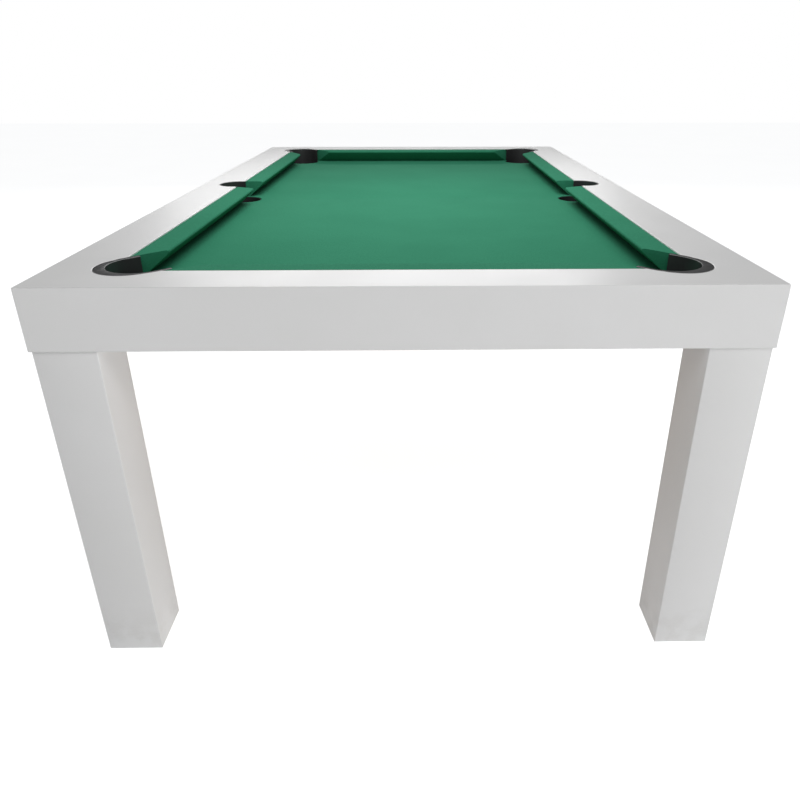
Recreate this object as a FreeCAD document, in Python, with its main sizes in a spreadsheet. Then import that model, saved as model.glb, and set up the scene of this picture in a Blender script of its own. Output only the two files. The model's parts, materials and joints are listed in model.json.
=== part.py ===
import FreeCAD, Part
import Sketcher
import os
import re

# Seven-foot pool table with square legs, drop pockets and levelling feet.
# Frame: origin on the floor under the table's centre, +X right, +Y towards the far end, +Z up.
# Most pieces are drawn once, in the near left quarter (-X, -Y), and mirrored into the others.

SIZES = [
    ("table_length", 2130, "outer length, along Y"),
    ("table_width", 1240, "outer width, along X"),
    ("table_height", 770, "floor to rail top"),
    ("side_rail_width", 110, "top of a long rail, outer face to cushion"),
    ("end_rail_width", 98, "top of a short rail, outer face to cushion"),
    ("rail_thickness", 22, "rail board"),
    ("apron_height", 110, "rail top to the cabinet's lower edge"),
    ("apron_thickness", 24, "apron board"),
    ("bed_drop", 46, "rail top down to the bed cloth"),
    ("bed_thickness", 19, "bed board"),
    ("cloth_thickness", 1, "bed cloth"),
    ("bed_gap", 1, "bed board to apron, all round"),
    ("cushion_depth", 53, "rail edge to cushion nose"),
    ("cushion_step", 1, "cushion's back edge below the rail top"),
    ("nose_step", 4, "nose below the rail top"),
    ("nose_face", 5, "upright face of the nose, between its rounded edges"),
    ("nose_round", 3, "radius of those edges"),
    ("cushion_foot", 11, "rail edge to the foot of the cushion's face"),
    ("cushion_lift", 4, "foot of the cushion above the cloth"),
    ("backing_width", 8, "part of the sub rail that stands under the cushion"),
    ("backing_drop", 8, "top of that part below the rail top"),
    ("corner_radius", 57.3, "inside of a corner pocket"),
    ("corner_setback", 41.7, "rail line to the centre of the corner pocket's back arc"),
    ("corner_shift", 8.9, "back arc's centre to front arc's centre, along the diagonal"),
    ("corner_arm", 26.6, "back arc's centre to the end of the arms"),
    ("flange_spread", 4.7, "radius of the flange's round outline beyond the inside of the pocket"),
    ("flange_shift", 11.7, "centre of that outline behind the back arc's, along each rail"),
    ("corner_arm_flange", 8, "flange beside the arms"),
    ("corner_facing_gap", 0.25, "flange beside the arms to the cushion, along the rail line"),
    ("corner_facing_run", 65.4, "how far the corner facing runs along the rail"),
    ("side_radius", 50, "inside of a side pocket"),
    ("side_setback", 8, "side pocket's back centre behind the rail line"),
    ("side_shift", 12, "back arc's centre to front arc's centre"),
    ("side_arm", 11, "back arc's centre to the end of the arms"),
    ("side_facing_gap", 1, "side pocket's wall to the cushion, on the rail line"),
    ("side_facing_run", 13.5, "how far a side facing runs along the rail"),
    ("liner_wall", 3, "pocket liner wall and floor"),
    ("flange_thickness", 4, "pocket flange"),
    ("flange_bevel", 0.8, "bevel on the liner's inner top edge"),
    ("liner_gap", 0.5, "liner to bed and rail"),
    ("bed_seam_gap", 12, "cups to the joints between the bed's boards"),
    ("flange_gap", 0.3, "flange to the rebate in the rail"),
    ("rim_drop", 1.5, "top of the cup's front wall below the cloth"),
    ("frame_lift", 4, "underside of the frame above the apron's lower edge"),
    ("stringer_width", 32, "long beam"),
    ("stringer_gap", 86, "corner pocket's cup to the side of a stringer"),
    ("beam_width", 40, "cross beam"),
    ("lap_gap", 0.2, "side play in a halved joint"),
    ("leg_size", 107, "square leg, outside"),
    ("leg_inset", 4, "leg's outer faces behind the aprons'"),
    ("leg_wall", 18, "leg board"),
    ("leg_arris", 1, "bevel on a leg's long edges"),
    ("block_size", 74, "corner block, square"),
    ("leg_top_block", 40, "height of the block in the leg's upper end"),
    ("leg_foot_block", 30, "height of the block in the leg's lower end"),
    ("recess_radius", 24, "recess that takes the foot pad"),
    ("recess_depth", 16, "same, from the underside of the leg"),
    ("foot_lift", 0.5, "pad's underside above the floor, with the foot wound right in"),
    ("pad_radius", 20, "foot pad"),
    ("pad_height", 8, "foot pad"),
    ("pad_floor", 3, "pad under the end of the stem"),
    ("pad_edge", 2, "bevel on the pad"),
    ("stem_radius", 5, "levelling screw"),
    ("stem_height", 48, "top of the levelling screw above the pad's underside"),
    ("stem_play", 0.08, "levelling screw in its insert and in the pad"),
    ("stem_lift", 0.3, "end of the screw, and its collar, above the pad"),
    ("collar_radius", 9, "collar of the levelling screw"),
    ("collar_height", 5, "same"),
    ("insert_radius", 8, "threaded insert, outside"),
    ("bolt_radius", 5, "leg bolt and rail bolt"),
    ("bolt_head_radius", 8, "same, head"),
    ("bolt_head_height", 6, "same, head"),
    ("bolt_play", 0.25, "bolt in its hole"),
    ("bolt_spread", 12.5, "leg bolt from the leg's centre, along each side"),
    ("bolt_end", 3, "end of a rail bolt below the rail board"),
    ("rail_bolt_inset", 38, "rail bolt behind the rail line"),
    ("rail_bolt_spread", 250, "rail bolt from the middle of its sub rail"),
    ("end_bolt_inset", 100, "on a short rail, from the stringer's middle towards the table's"),
    ("screw_radius", 3, "bed screw"),
    ("screw_head_radius", 6, "same, head"),
    ("screw_head_height", 3, "same, head"),
    ("screw_length", 40, "same, whole"),
    ("screw_near", 200, "table's middle to the inner bed screws"),
    ("screw_far", 780, "table's middle to the outer bed screws"),
]

# Places worked out from the sizes. Each is an expression in the sheet's names.
OUT_X = "(-table_width / 2)"
OUT_Y = "(-table_length / 2)"
RAIL_X = "(-table_width / 2 + side_rail_width)"
RAIL_Y = "(-table_length / 2 + end_rail_width)"
TOP = "table_height"
RAIL_UNDER = "(table_height - rail_thickness)"
CLOTH_TOP = "(table_height - bed_drop)"
BED_TOP = "(table_height - bed_drop - cloth_thickness)"
BED_UNDER = f"({BED_TOP} - bed_thickness)"
APRON_UNDER = "(table_height - apron_height)"
FRAME_UNDER = f"({APRON_UNDER} + frame_lift)"
FRAME_MIDDLE = f"(({FRAME_UNDER} + {BED_UNDER}) / 2)"
CUP_RIM = f"({CLOTH_TOP} - rim_drop)"
BACKING_TOP = "(table_height - backing_drop)"
CORNER_START = "(sqrt(2) * (corner_radius + corner_arm_flange) + corner_facing_gap)"
CORNER_END_X = f"({RAIL_X} + {CORNER_START})"
CORNER_END_Y = f"({RAIL_Y} + {CORNER_START})"
SIDE_END_Y = "(-side_radius - liner_wall - side_facing_gap)"
SIDE_MIDDLE_Y = f"(({CORNER_END_Y} + {SIDE_END_Y}) / 2)"
CUP_SIDE_Y = f"({RAIL_Y} + corner_setback + corner_shift * cos(45) + corner_radius + liner_wall)"
CUP_SIDE_X = f"({RAIL_X} + corner_setback + corner_shift * cos(45) + corner_radius + liner_wall)"
STRINGER_X = f"({CUP_SIDE_X} + stringer_gap + stringer_width / 2)"
BEAM_Y = SIDE_MIDDLE_Y
LEG_X = f"({OUT_X} + leg_inset + leg_size / 2)"
LEG_Y = f"({OUT_Y} + leg_inset + leg_size / 2)"
PAST = "table_length"

doc = FreeCAD.newDocument("pool_table")
sheet = doc.addObject("Spreadsheet::Sheet", "dims")
for row, (alias, size, meaning) in enumerate(SIZES, start=1):
    sheet.set(f"A{row}", meaning)
    sheet.set(f"B{row}", str(size))
    sheet.setAlias(f"B{row}", alias)
doc.recompute()

subparts = {}


# ---- helpers: expressions, placing, sketches ----

def bound(text):
    """An expression in plain size names, with each name pointed at the sheet."""
    return re.sub(r"\b([a-z]+(?:_[a-z]+)+)\b", r"dims.\1", text)


def value(text):
    return float(sheet.evalExpression(bound(text)))


def bind(thing, **sizes):
    for name, text in sizes.items():
        thing.setExpression(name, bound(text))
    return thing


def place(thing, x, y, z, turn=0):
    thing.Placement = FreeCAD.Placement(FreeCAD.Vector(), FreeCAD.Rotation(FreeCAD.Vector(0, 0, 1), turn))
    for axis, text in zip("xyz", (x, y, z)):
        thing.setExpression(f"Placement.Base.{axis}", bound(text))
    return thing


def keep(label, thing):
    """Names a finished sub-part, which is written to a file of that name."""
    thing.Label = label
    subparts[label] = thing
    return thing


def sketch_on(body, role, name, offset="0"):
    """An empty sketch on one of the body's own origin planes, moved along the plane's normal."""
    sketch = body.newObject("Sketcher::SketchObject", name)
    plane = next(feature for feature in body.Origin.OriginFeatures if feature.Role == role)
    sketch.AttachmentSupport = (plane, [""])
    sketch.MapMode = "FlatFace"
    sketch.setExpression("AttachmentOffset.Base.z", bound(offset))
    return sketch


def fix_point(sketch, line, end, x, y):
    """Ties one end of a line, or a circle's centre, to expressions for its two coordinates."""
    for kind, text in (("DistanceX", x), ("DistanceY", y)):
        index = sketch.addConstraint(Sketcher.Constraint(kind, -1, 1, line, end, value(text)))
        sketch.setExpression(f"Constraints[{index}]", bound(text))


def outline(sketch, points):
    """A closed outline of straight lines through points given as pairs of expressions."""
    corners = [FreeCAD.Vector(value(x), value(y), 0) for x, y in points]
    first = sketch.GeometryCount
    for start, end in zip(corners, corners[1:] + corners[:1]):
        sketch.addGeometry(Part.LineSegment(start, end), False)
    for number in range(len(points)):
        following = (number + 1) % len(points)
        sketch.addConstraint(Sketcher.Constraint("Coincident", first + number, 2, first + following, 1))
    for number, (x, y) in enumerate(points):
        fix_point(sketch, first + number, 1, x, y)


def rectangle(x0, x1, y0, y1):
    return [(x0, y0), (x1, y0), (x1, y1), (x0, y1)]


def padded(body, sketch, length):
    pad = body.newObject("PartDesign::Pad", body.Name + "_pad")
    pad.Profile = sketch
    return bind(pad, Length=length)


def cut_down(body, points, name):
    """Cuts an outline, drawn on a plane above the piece, straight down through it."""
    before = body.Shape.Volume
    sketch = sketch_on(body, "XY_Plane", f"{body.Name}_{name}_outline", f"{TOP} + 1")
    outline(sketch, points)
    pocket = body.newObject("PartDesign::Pocket", f"{body.Name}_{name}")
    pocket.Profile = sketch
    pocket.Type = "ThroughAll"
    doc.recompute()
    if body.Shape.Volume >= before:
        raise ValueError(f"{pocket.Name} cut nothing")
    return pocket


def board(name, points, low, high):
    """A board: an outline on the XY plane, padded from one height to another."""
    body = doc.addObject("PartDesign::Body", name)
    sketch = sketch_on(body, "XY_Plane", name + "_outline", low)
    outline(sketch, points)
    padded(body, sketch, f"{high} - {low}")
    doc.recompute()
    return body


def moulding(name, role, section, start, length):
    """A long piece: a section on an upright plane, padded along the plane's normal."""
    body = doc.addObject("PartDesign::Body", name)
    sketch = sketch_on(body, role, name + "_section", start)
    outline(sketch, section)
    padded(body, sketch, length)
    doc.recompute()
    return body


def turned(name, section):
    """A round piece: half a section on the XZ plane, turned about Z."""
    body = doc.addObject("PartDesign::Body", name)
    sketch = sketch_on(body, "XZ_Plane", name + "_section")
    outline(sketch, section)
    turning = body.newObject("PartDesign::Revolution", name + "_turning")
    turning.Profile = sketch
    turning.ReferenceAxis = (sketch, ["V_Axis"])
    turning.Angle = 360
    return body


def edges_where(shape, test):
    return [number for number, edge in enumerate(shape.Edges, start=1) if test(edge)]


# ---- helpers: solids and booleans ----

def cylinder(name, x, y, low, high, radius):
    thing = bind(doc.addObject("Part::Cylinder", name), Radius=radius, Height=f"{high} - {low}")
    return place(thing, x, y, low)


def fused(name, pieces):
    thing = doc.addObject("Part::MultiFuse", name)
    thing.Shapes = pieces
    return thing


def cut(name, base, tool):
    thing = doc.addObject("Part::Cut", name)
    thing.Base = base
    thing.Tool = tool
    return thing


def mirrored(name, source, normal):
    """A mirror image across the table's middle plane that has this normal."""
    thing = doc.addObject("Part::Mirroring", name)
    thing.Source = source
    thing.Normal = normal
    return thing


ACROSS = FreeCAD.Vector(1, 0, 0)
ALONG = FreeCAD.Vector(0, 1, 0)


def in_four(name, near_left):
    """The near left piece and its images in the other three quarters of the table."""
    near_right = mirrored(name + "_near_right", near_left, ACROSS)
    far_left = mirrored(name + "_far_left", near_left, ALONG)
    far_right = mirrored(name + "_far_right", near_right, ALONG)
    return {"near_left": near_left, "near_right": near_right, "far_left": far_left, "far_right": far_right}


def keep_four(name, near_left):
    for corner, piece in in_four(name, near_left).items():
        keep(f"{name}_{corner}", piece)


def group(label, pieces):
    """Separate pieces of one kind, kept as one sub-part."""
    thing = doc.addObject("Part::Compound", label)
    thing.Links = pieces
    return keep(label, thing)


# ---- pockets: the outlines that liner, rail, bed and cloth share ----

class Pocket:
    """A pocket's plan: a back arc, straight arms towards the table, and the cup's front arc."""

    def __init__(self, kind, x, y, turn):
        self.kind = kind
        self.x = x
        self.y = y
        self.turn = turn
        self.radius = f"{kind}_radius"
        self.shift = f"{kind}_shift"
        self.arm = f"{kind}_arm"

    def lane(self, name, radius, reach, low, high):
        """A straight lane as wide as the pocket, from its back centre towards the table."""
        lane = doc.addObject("Part::Box", name)
        bind(lane, Length=reach, Width=f"2 * {radius}", Height=f"{high} - {low}")
        x = f"{self.x} + {radius} * sin({self.turn})"
        y = f"{self.y} - {radius} * cos({self.turn})"
        return place(lane, x, y, low, self.turn)

    def horseshoe(self, name, radius, reach, low, high):
        back = cylinder(name + "_back", self.x, self.y, low, high, radius)
        return fused(name, [back, self.lane(name + "_lane", radius, reach, low, high)])

    def cup(self, name, radius, low, high):
        back = cylinder(name + "_back", self.x, self.y, low, high, radius)
        front_x = f"{self.x} + {self.shift} * cos({self.turn})"
        front_y = f"{self.y} + {self.shift} * sin({self.turn})"
        front = cylinder(name + "_front", front_x, front_y, low, high, radius)
        return fused(name, [back, self.lane(name + "_lane", radius, self.shift, low, high), front])

    def flange(self, name, gap, low, high):
        """The crescent that lies on a corner pocket, wider than the wall by its own outline."""
        spot = (f"{self.x} - flange_shift", f"{self.y} - flange_shift")
        disc = cylinder(name + "_disc", *spot, low, high, f"({self.radius} + flange_spread + {gap})")
        beside = f"({self.radius} + corner_arm_flange + {gap})"
        arms = self.horseshoe(name + "_arms", beside, f"({self.arm} + {gap})", low, high)
        return fused(name, [disc, arms])

    def hollow(self, name):
        """The space inside the liner: open to the table above the cloth, a closed cup below it."""
        above = self.horseshoe(name + "_above", self.radius, PAST, CUP_RIM, f"({TOP} + 1)")
        below = self.cup(name + "_below", self.radius, f"({FRAME_UNDER} + liner_wall)", f"({CUP_RIM} + 1)")
        return fused(name, [above, below])

    def liner(self, name):
        wall = f"({self.radius} + liner_wall)"
        over_cloth = f"({CLOTH_TOP} + flange_gap)"
        pieces = [
            self.cup(name + "_cup", wall, FRAME_UNDER, CUP_RIM),
            self.horseshoe(name + "_collar", wall, self.shift, CUP_RIM, TOP),
            self.horseshoe(name + "_arms", wall, self.arm, over_cloth, TOP),
        ]
        if self.kind == "corner":
            pieces.append(self.flange(name + "_flange", "0", f"({TOP} - flange_thickness)", TOP))
        whole = cut(name + "_moulding", fused(name + "_outside", pieces), self.hollow(name + "_inside"))
        doc.recompute()
        return self.bevelled(name, whole)

    def bevelled(self, name, whole):
        """Bevels the inner top edge, which runs round the back arc at the liner's own radius."""
        centre = FreeCAD.Vector(value(self.x), value(self.y), value(TOP))
        radius = value(self.radius)

        def on_back_arc(edge):
            middle = edge.valueAt((edge.FirstParameter + edge.LastParameter) / 2)
            return isinstance(edge.Curve, Part.Circle) and abs(middle.distanceToPoint(centre) - radius) < 0.01

        thing = doc.addObject("Part::Chamfer", name)
        thing.Base = whole
        bevel = value("flange_bevel")
        thing.Edges = [(number, bevel, bevel) for number in edges_where(whole.Shape, on_back_arc)]
        return thing

    def rail_cut(self, name):
        """What the pocket takes out of the rail: the wall's way down and the flange's rebate."""
        wall = f"({self.radius} + liner_wall + liner_gap)"
        way = self.horseshoe(name + "_way", wall, PAST, f"({RAIL_UNDER} - 1)", f"({TOP} + 1)")
        if self.kind == "side":
            return way
        ledge = f"({TOP} - flange_thickness - flange_gap)"
        return fused(name, [way, self.flange(name + "_rebate", "flange_gap", ledge, f"({TOP} + 1)")])

    def bed_cut(self, name):
        wall = f"({self.radius} + liner_wall + liner_gap)"
        return self.cup(name, wall, f"({BED_UNDER} - 1)", f"({CLOTH_TOP} + 1)")


corner_pocket = Pocket("corner", f"({RAIL_X} + corner_setback)", f"({RAIL_Y} + corner_setback)", 45)
side_pocket = Pocket("side", f"({RAIL_X} - side_setback)", "0", 0)

keep_four("corner_pocket_liner", corner_pocket.liner("corner_liner"))
left_liner = keep("side_pocket_liner_left", side_pocket.liner("side_liner"))
keep("side_pocket_liner_right", mirrored("side_liner_right", left_liner, ACROSS))


# ---- cabinet: aprons and rails ----

INNER_X = f"({OUT_X} + apron_thickness)"
INNER_Y = f"({OUT_Y} + apron_thickness)"

side_apron_plan = rectangle(OUT_X, INNER_X, OUT_Y, f"(-{OUT_Y})")
left_apron = keep("side_apron_left", board("side_apron", side_apron_plan, APRON_UNDER, RAIL_UNDER))
keep("side_apron_right", mirrored("side_apron_right", left_apron, ACROSS))

end_apron_plan = rectangle(INNER_X, f"(-{INNER_X})", OUT_Y, INNER_Y)
near_apron = keep("end_apron_near", board("end_apron", end_apron_plan, APRON_UNDER, RAIL_UNDER))
keep("end_apron_far", mirrored("end_apron_far", near_apron, ALONG))

corner_tool = corner_pocket.rail_cut("corner_rail_cut")
far_corner_tool = mirrored("far_corner_rail_cut", corner_tool, ALONG)
right_corner_tool = mirrored("right_corner_rail_cut", corner_tool, ACROSS)
side_tool = side_pocket.rail_cut("side_rail_cut")

side_rail_plan = [(OUT_X, OUT_Y), (RAIL_X, RAIL_Y), (RAIL_X, f"(-{RAIL_Y})"), (OUT_X, f"(-{OUT_Y})")]
side_rail_blank = board("side_rail_blank", side_rail_plan, RAIL_UNDER, TOP)
side_rail_tools = fused("side_rail_tools", [corner_tool, far_corner_tool, side_tool])
left_rail = keep("side_rail_left", cut("side_rail", side_rail_blank, side_rail_tools))
keep("side_rail_right", mirrored("side_rail_right", left_rail, ACROSS))

end_rail_plan = [(OUT_X, OUT_Y), (f"(-{OUT_X})", OUT_Y), (f"(-{RAIL_X})", RAIL_Y), (RAIL_X, RAIL_Y)]
end_rail_blank = board("end_rail_blank", end_rail_plan, RAIL_UNDER, TOP)
end_rail_tools = fused("end_rail_tools", [corner_tool, right_corner_tool])
near_rail = keep("end_rail_near", cut("end_rail", end_rail_blank, end_rail_tools))
keep("end_rail_far", mirrored("end_rail_far", near_rail, ALONG))


# ---- cushions and the sub rails that carry them ----

def cushion_section(rail_line):
    """Nearly flat top, rounded nose, and a face that slopes far back under it to the foot."""
    foot = f"({CLOTH_TOP} + cushion_lift)"
    return [
        (rail_line, BACKING_TOP),
        (rail_line, f"({TOP} - cushion_step)"),
        (f"({rail_line} + cushion_depth)", f"({TOP} - nose_step)"),
        (f"({rail_line} + cushion_depth)", f"({TOP} - nose_step - nose_face)"),
        (f"({rail_line} + cushion_foot)", foot),
        (f"({rail_line} + backing_width)", foot),
        (f"({rail_line} + backing_width)", BACKING_TOP),
    ]


def sub_rail_section(rail_line, apron_line):
    """A low back part under the rail board and a taller front part that backs the cushion."""
    return [
        (apron_line, CLOTH_TOP),
        (f"({rail_line} + backing_width)", CLOTH_TOP),
        (f"({rail_line} + backing_width)", BACKING_TOP),
        (rail_line, BACKING_TOP),
        (rail_line, RAIL_UNDER),
        (apron_line, RAIL_UNDER),
    ]


def facing_waste(across, along, run, towards):
    """The wedge that a pocket facing takes off a cushion's end.

    It starts where the end meets the rail line, and towards is +1 or -1, the way that the cushion
    leads from there.
    """
    nose = f"({across} + cushion_depth)"
    past_nose = f"({across} + cushion_depth + 1)"
    far = f"({along} + {towards} * {run})"
    before = f"({along} - {towards} * 1)"
    return [(across, along), (nose, far), (past_nose, far), (past_nose, before), (across, before)]


def swapped(points):
    return [(y, x) for x, y in points]


def rounded_nose(body, nose):
    """Rounds the two long edges of the nose, which lie at the given distance across the rail."""
    square_nose = body.Tip
    shortest = 2 * value("cushion_depth")

    def on_nose(edge):
        ends = [vertex.Point for vertex in edge.Vertexes]
        return edge.Length > shortest and all(min(abs(p.x - nose), abs(p.y - nose)) < 0.01 for p in ends)

    fillet = body.newObject("PartDesign::Fillet", body.Name + "_nose")
    fillet.Base = (square_nose, [f"Edge{number}" for number in edges_where(square_nose.Shape, on_nose)])
    return bind(fillet, Radius="nose_round")


SIDE_RUN = (f"(-{SIDE_END_Y})", f"({SIDE_END_Y} - {CORNER_END_Y})")
END_RUN = (CORNER_END_X, f"(-2 * {CORNER_END_X})")


def along_side(name, section):
    """A piece of moulding on the left rail, between the near corner pocket and the side pocket."""
    body = moulding(name, "XZ_Plane", section, *SIDE_RUN)
    cut_down(body, facing_waste(RAIL_X, CORNER_END_Y, "corner_facing_run", 1), "corner_facing")
    cut_down(body, facing_waste(RAIL_X, SIDE_END_Y, "side_facing_run", -1), "side_facing")
    return body


def along_end(name, section):
    """A piece of moulding on the near rail, between its two corner pockets."""
    body = moulding(name, "YZ_Plane", section, *END_RUN)
    for towards, end, side in ((1, CORNER_END_X, "left"), (-1, f"(-{CORNER_END_X})", "right")):
        waste = swapped(facing_waste(RAIL_Y, end, "corner_facing_run", towards))
        cut_down(body, waste, f"{side}_facing")
    return body


side_cushion = along_side("side_cushion", cushion_section(RAIL_X))
rounded_nose(side_cushion, value(f"{RAIL_X} + cushion_depth"))
keep_four("side_cushion", side_cushion)

end_cushion = along_end("end_cushion", cushion_section(RAIL_Y))
rounded_nose(end_cushion, value(f"{RAIL_Y} + cushion_depth"))
keep("end_cushion_near", end_cushion)
keep("end_cushion_far", mirrored("end_cushion_far", end_cushion, ALONG))

rail_bolt_hole = "(bolt_radius + bolt_play)"
SIDE_BOLT_X = f"({RAIL_X} - rail_bolt_inset)"
END_BOLT_X = f"({STRINGER_X} + end_bolt_inset)"
END_BOLT_Y = f"({RAIL_Y} - rail_bolt_inset)"
SIDE_BOLTS = [(SIDE_BOLT_X, f"({SIDE_MIDDLE_Y} {sign} rail_bolt_spread)") for sign in "-+"]
END_BOLTS = [(END_BOLT_X, END_BOLT_Y), (f"(-{END_BOLT_X})", END_BOLT_Y)]
BOLT_TOP = f"({RAIL_UNDER} - bolt_end)"


def holes(name, spots, radius, low, high):
    return [cylinder(f"{name}_{n}", x, y, low, high, radius) for n, (x, y) in enumerate(spots)]


def drilled(name, body, spots, *way):
    return cut(name, body, fused(name + "_holes", holes(name + "_hole", spots, *way)))


side_sub_rail = along_side("side_sub_rail_blank", sub_rail_section(RAIL_X, INNER_X))
bolt_way = (rail_bolt_hole, f"({BED_UNDER} - 1)", BOLT_TOP)
keep_four("side_sub_rail", drilled("side_sub_rail", side_sub_rail, SIDE_BOLTS, *bolt_way))
end_sub_rail = along_end("end_sub_rail_blank", sub_rail_section(RAIL_Y, INNER_Y))
near_sub_rail = keep("end_sub_rail_near", drilled("end_sub_rail", end_sub_rail, END_BOLTS, *bolt_way))
keep("end_sub_rail_far", mirrored("end_sub_rail_far", near_sub_rail, ALONG))


# ---- bed: board, cloth, rail bolts and bed screws ----

def bolt(name, x, y, under_head, end, head_below):
    """A bolt with a round head on one end of its shank."""
    low, high = (under_head, end) if head_below else (end, under_head)
    shank = cylinder(name + "_shank", x, y, low, high, "bolt_radius")
    head_low = f"({under_head} - bolt_head_height)" if head_below else under_head
    head = cylinder(name + "_head", x, y, head_low, f"({head_low} + bolt_head_height)", "bolt_head_radius")
    return fused(name, [shank, head])


def screw(name, x, y):
    """A countersunk screw, flush with the top of the bed board."""
    neck = f"({BED_TOP} - screw_head_height)"
    shank = cylinder(name + "_shank", x, y, f"({BED_TOP} - screw_length)", neck, "screw_radius")
    head = doc.addObject("Part::Cone", name + "_head")
    bind(head, Radius1="screw_radius", Radius2="screw_head_radius", Height="screw_head_height")
    place(head, x, y, neck)
    return fused(name, [shank, head])


def bolts(name, spots, under_head, end, head_below):
    return [bolt(f"{name}_{n}", x, y, under_head, end, head_below) for n, (x, y) in enumerate(spots)]


side_bolts = bolts("side_rail_bolt", SIDE_BOLTS, BED_UNDER, BOLT_TOP, True)
end_bolts = bolts("end_rail_bolt", END_BOLTS, BED_UNDER, BOLT_TOP, True)
rail_bolts = [piece for near in side_bolts for piece in in_four(near.Name, near).values()]
rail_bolts += end_bolts + [mirrored(near.Name + "_far", near, ALONG) for near in end_bolts]
group("rail_bolts", rail_bolts)

screws = [screw(f"bed_{name}", STRINGER_X, f"(-{name})") for name in ("screw_near", "screw_far")]
bed_screws = [piece for near in screws for piece in in_four(near.Name, near).values()]
group("bed_screws", bed_screws)

BED_X = f"({INNER_X} + bed_gap)"
BED_Y = f"({INNER_Y} + bed_gap)"
bed_plan = rectangle(BED_X, f"(-{BED_X})", BED_Y, f"(-{BED_Y})")
side_hole = side_pocket.bed_cut("side_bed_cut")
pocket_holes = list(in_four("corner_bed_cut", corner_pocket.bed_cut("corner_bed_cut")).values())
pocket_holes += [side_hole, mirrored("side_bed_cut_right", side_hole, ACROSS)]

through_bed = (f"({BED_UNDER} - 1)", f"({CLOTH_TOP} + 1)", rail_bolt_hole)
bolt_holes = []
for number, (x, y) in enumerate(SIDE_BOLTS):
    hole = cylinder(f"side_bolt_way_{number}", x, y, *through_bed)
    bolt_holes += in_four(hole.Name, hole).values()
for number, (x, y) in enumerate(END_BOLTS):
    hole = cylinder(f"end_bolt_way_{number}", x, y, *through_bed)
    bolt_holes += [hole, mirrored(hole.Name + "_far", hole, ALONG)]

through_cloth = fused("cloth_tools", pocket_holes + bolt_holes)
keep("bed_cloth", cut("bed_cloth", board("cloth_blank", bed_plan, BED_TOP, CLOTH_TOP), through_cloth))
through_board = fused("board_tools", pocket_holes + bolt_holes + bed_screws)

BED_SEAM_X = f"({CUP_SIDE_X} + bed_seam_gap)"
CORNER_SEAM_Y = f"({CUP_SIDE_Y} + bed_seam_gap)"
SIDE_SEAM_Y = "(-side_radius - liner_wall - bed_seam_gap)"


def bed_piece(name, x0, x1, y0, y1):
    """The bed between two lines each way, with the holes that fall inside them."""
    blank = board(name + "_blank", rectangle(x0, x1, y0, y1), BED_UNDER, BED_TOP)
    return cut(name, blank, through_board)


keep("bed_board", bed_piece("bed_board", BED_SEAM_X, f"(-{BED_SEAM_X})", BED_Y, f"(-{BED_Y})"))
corner_board = bed_piece("bed_corner_board", BED_X, BED_SEAM_X, BED_Y, CORNER_SEAM_Y)
group("bed_corner_boards", list(in_four("bed_corner_board", corner_board).values()))
side_board = bed_piece("bed_side_board", BED_X, BED_SEAM_X, CORNER_SEAM_Y, SIDE_SEAM_Y)
group("bed_side_boards", list(in_four("bed_side_board", side_board).values()))
pocket_board = bed_piece("bed_pocket_board", BED_X, BED_SEAM_X, SIDE_SEAM_Y, f"(-{SIDE_SEAM_Y})")
group("bed_pocket_boards", [pocket_board, mirrored("bed_pocket_board_right", pocket_board, ACROSS)])


# ---- frame under the bed: stringers halved over cross beams ----

def half_lap(name, x, y, size_x, size_y, low, high):
    lap = bind(doc.addObject("Part::Box", name), Length=size_x, Width=size_y, Height=f"{high} - {low}")
    return place(lap, f"({x} - {size_x} / 2)", f"({y} - {size_y} / 2)", low)


stringer_sides = (f"({STRINGER_X} - stringer_width / 2)", f"({STRINGER_X} + stringer_width / 2)")
stringer_plan = rectangle(*stringer_sides, INNER_Y, f"(-{INNER_Y})")
stringer_blank = board("stringer_blank", stringer_plan, FRAME_UNDER, BED_UNDER)
lap_size = ("(stringer_width + 2)", "(beam_width + 2 * lap_gap)", f"({FRAME_UNDER} - 1)", FRAME_MIDDLE)
near_lap = half_lap("stringer_lap", STRINGER_X, BEAM_Y, *lap_size)
left_screws = [piece for piece in bed_screws if not piece.Name.endswith("right")]
far_lap = mirrored("stringer_lap_far", near_lap, ALONG)
stringer_tools = fused("stringer_tools", [near_lap, far_lap] + left_screws)
left_stringer = keep("stringer_left", cut("stringer", stringer_blank, stringer_tools))
keep("stringer_right", mirrored("stringer_right", left_stringer, ACROSS))

beam_sides = (f"({BEAM_Y} - beam_width / 2)", f"({BEAM_Y} + beam_width / 2)")
beam_plan = rectangle(INNER_X, f"(-{INNER_X})", *beam_sides)
beam_blank = board("beam_blank", beam_plan, FRAME_UNDER, BED_UNDER)
lap_size = ("(stringer_width + 2 * lap_gap)", "(beam_width + 2)", FRAME_MIDDLE, f"({BED_UNDER} + 1)")
left_lap = half_lap("beam_lap", STRINGER_X, BEAM_Y, *lap_size)
beam_tools = fused("beam_tools", [left_lap, mirrored("beam_lap_right", left_lap, ACROSS)])
near_beam = keep("cross_beam_near", cut("cross_beam", beam_blank, beam_tools))
keep("cross_beam_far", mirrored("cross_beam_far", near_beam, ALONG))


# ---- legs: hollow square leg, blocks in both ends, bolts from the corner block ----

def square(x, y, size):
    half = f"{size} / 2"
    return rectangle(f"({x} - {half})", f"({x} + {half})", f"({y} - {half})", f"({y} + {half})")


LEG_HOLLOW = "(leg_size - 2 * leg_wall)"
LEG_BOLTS = [(f"({LEG_X} {a} bolt_spread)", f"({LEG_Y} {b} bolt_spread)") for a, b in ("-+", "+-")]
HEAD_SEAT = f"({BED_UNDER} - bolt_head_height)"

leg = board("leg", square(LEG_X, LEG_Y, "leg_size"), "0", APRON_UNDER)
cut_down(leg, square(LEG_X, LEG_Y, LEG_HOLLOW), "hollow")
corner_reach = value("leg_size") / 2


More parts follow.
